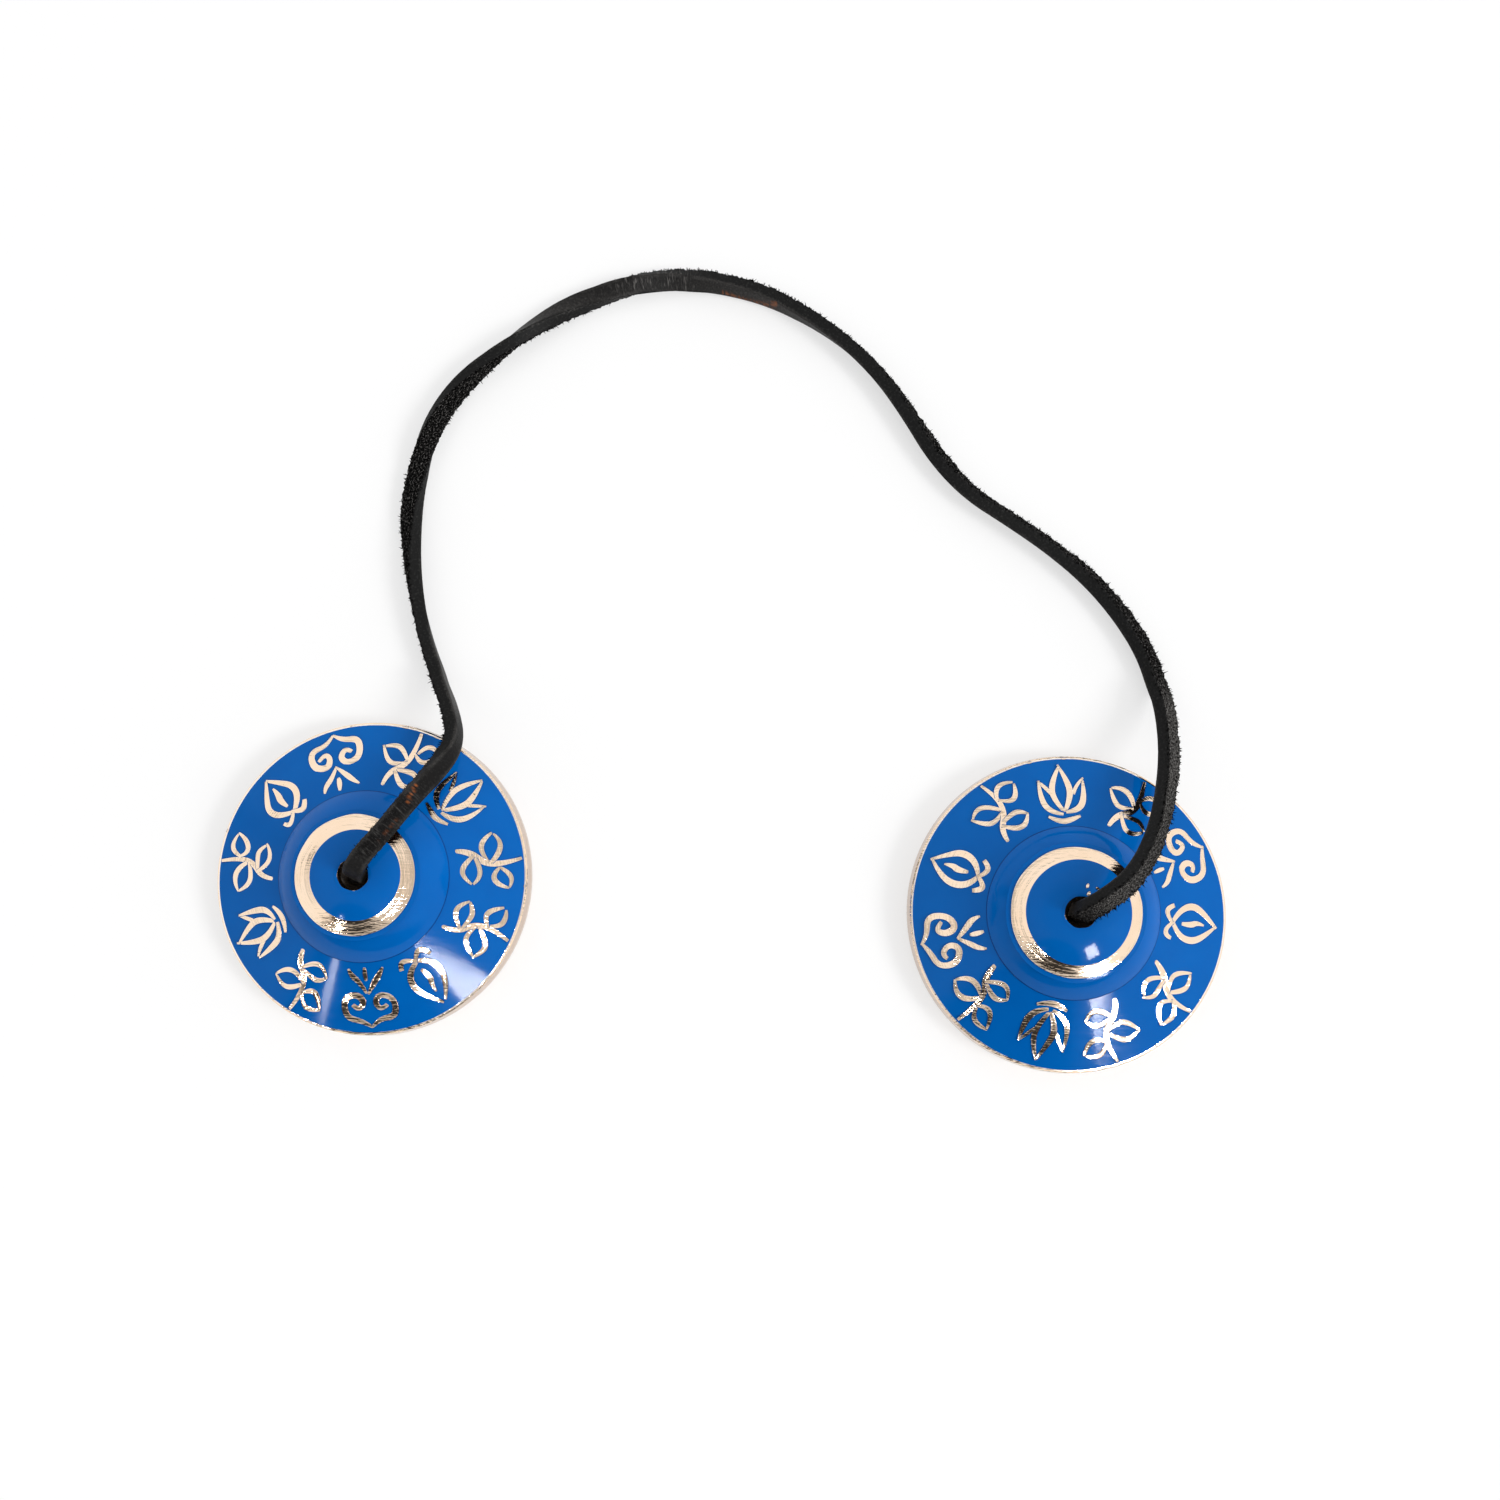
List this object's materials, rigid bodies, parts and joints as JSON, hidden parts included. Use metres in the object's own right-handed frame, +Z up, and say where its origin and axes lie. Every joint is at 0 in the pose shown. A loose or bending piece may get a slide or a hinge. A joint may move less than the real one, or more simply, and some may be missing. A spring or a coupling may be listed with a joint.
{
  "type": "tingsha cymbals",
  "caption": "Pair of small thick bronze bell cymbals with domed bosses and blue lacquer, joined by a knotted leather thong and struck rim to rim to ring.",
  "frame": {"origin": "on the table, midway between the two cymbals' axes", "axes": "+X from the left cymbal to the right one, +Y towards the thong's crown, +Z up"},
  "size_m": [0.208, 0.1663, 0.0277],
  "materials": {
    "bronze": "turned and polished bell metal",
    "lacquer": "glossy blue lacquer",
    "leather": "dyed split leather"
  },
  "bodies": {
    "left_thong": {"left_thong": "leather"},
    "right_thong": {"right_thong": "leather"},
    "left_knot": {"left_knot": "leather"},
    "left_cymbal": {"left_cymbal": "bronze", "left_boss_lacquer": "lacquer", "left_flange_lacquer": "lacquer"},
    "right_knot": {"right_knot": "leather"},
    "right_cymbal": {"right_cymbal": "bronze", "right_boss_lacquer": "lacquer", "right_flange_lacquer": "lacquer"}
  },
  "joints": [
    {"name": "thong_bend", "type": "hinge", "parent": "left_thong", "child": "right_thong", "pos_m": [-0.0126, 0.1319, 0.002], "axis": [0, 0, 1], "range_deg": [-31, 120], "deforming": ["left_thong", "right_thong"]},
    {"name": "left_rock", "type": "hinge", "parent": "left_thong", "child": "left_knot", "pos_m": [-0.0715, 0, 0.0191], "axis": [-0.8286, 0.5599, 0], "range_deg": [-5, 25], "deforming": ["left_thong"]},
    {"name": "left_swivel", "type": "hinge", "parent": "left_knot", "child": "left_cymbal", "pos_m": [-0.0715, 0, 0.0191], "axis": [0, 0, 1], "continuous": true},
    {"name": "right_rock", "type": "hinge", "parent": "right_thong", "child": "right_knot", "pos_m": [0.0715, 0, 0.0191], "axis": [-0.6508, 0.7593, 0], "range_deg": [-5, 25], "deforming": ["right_thong"]},
    {"name": "right_swivel", "type": "hinge", "parent": "right_knot", "child": "right_cymbal", "pos_m": [0.0715, 0, 0.0191], "axis": [0, 0, 1], "continuous": true}
  ]
}
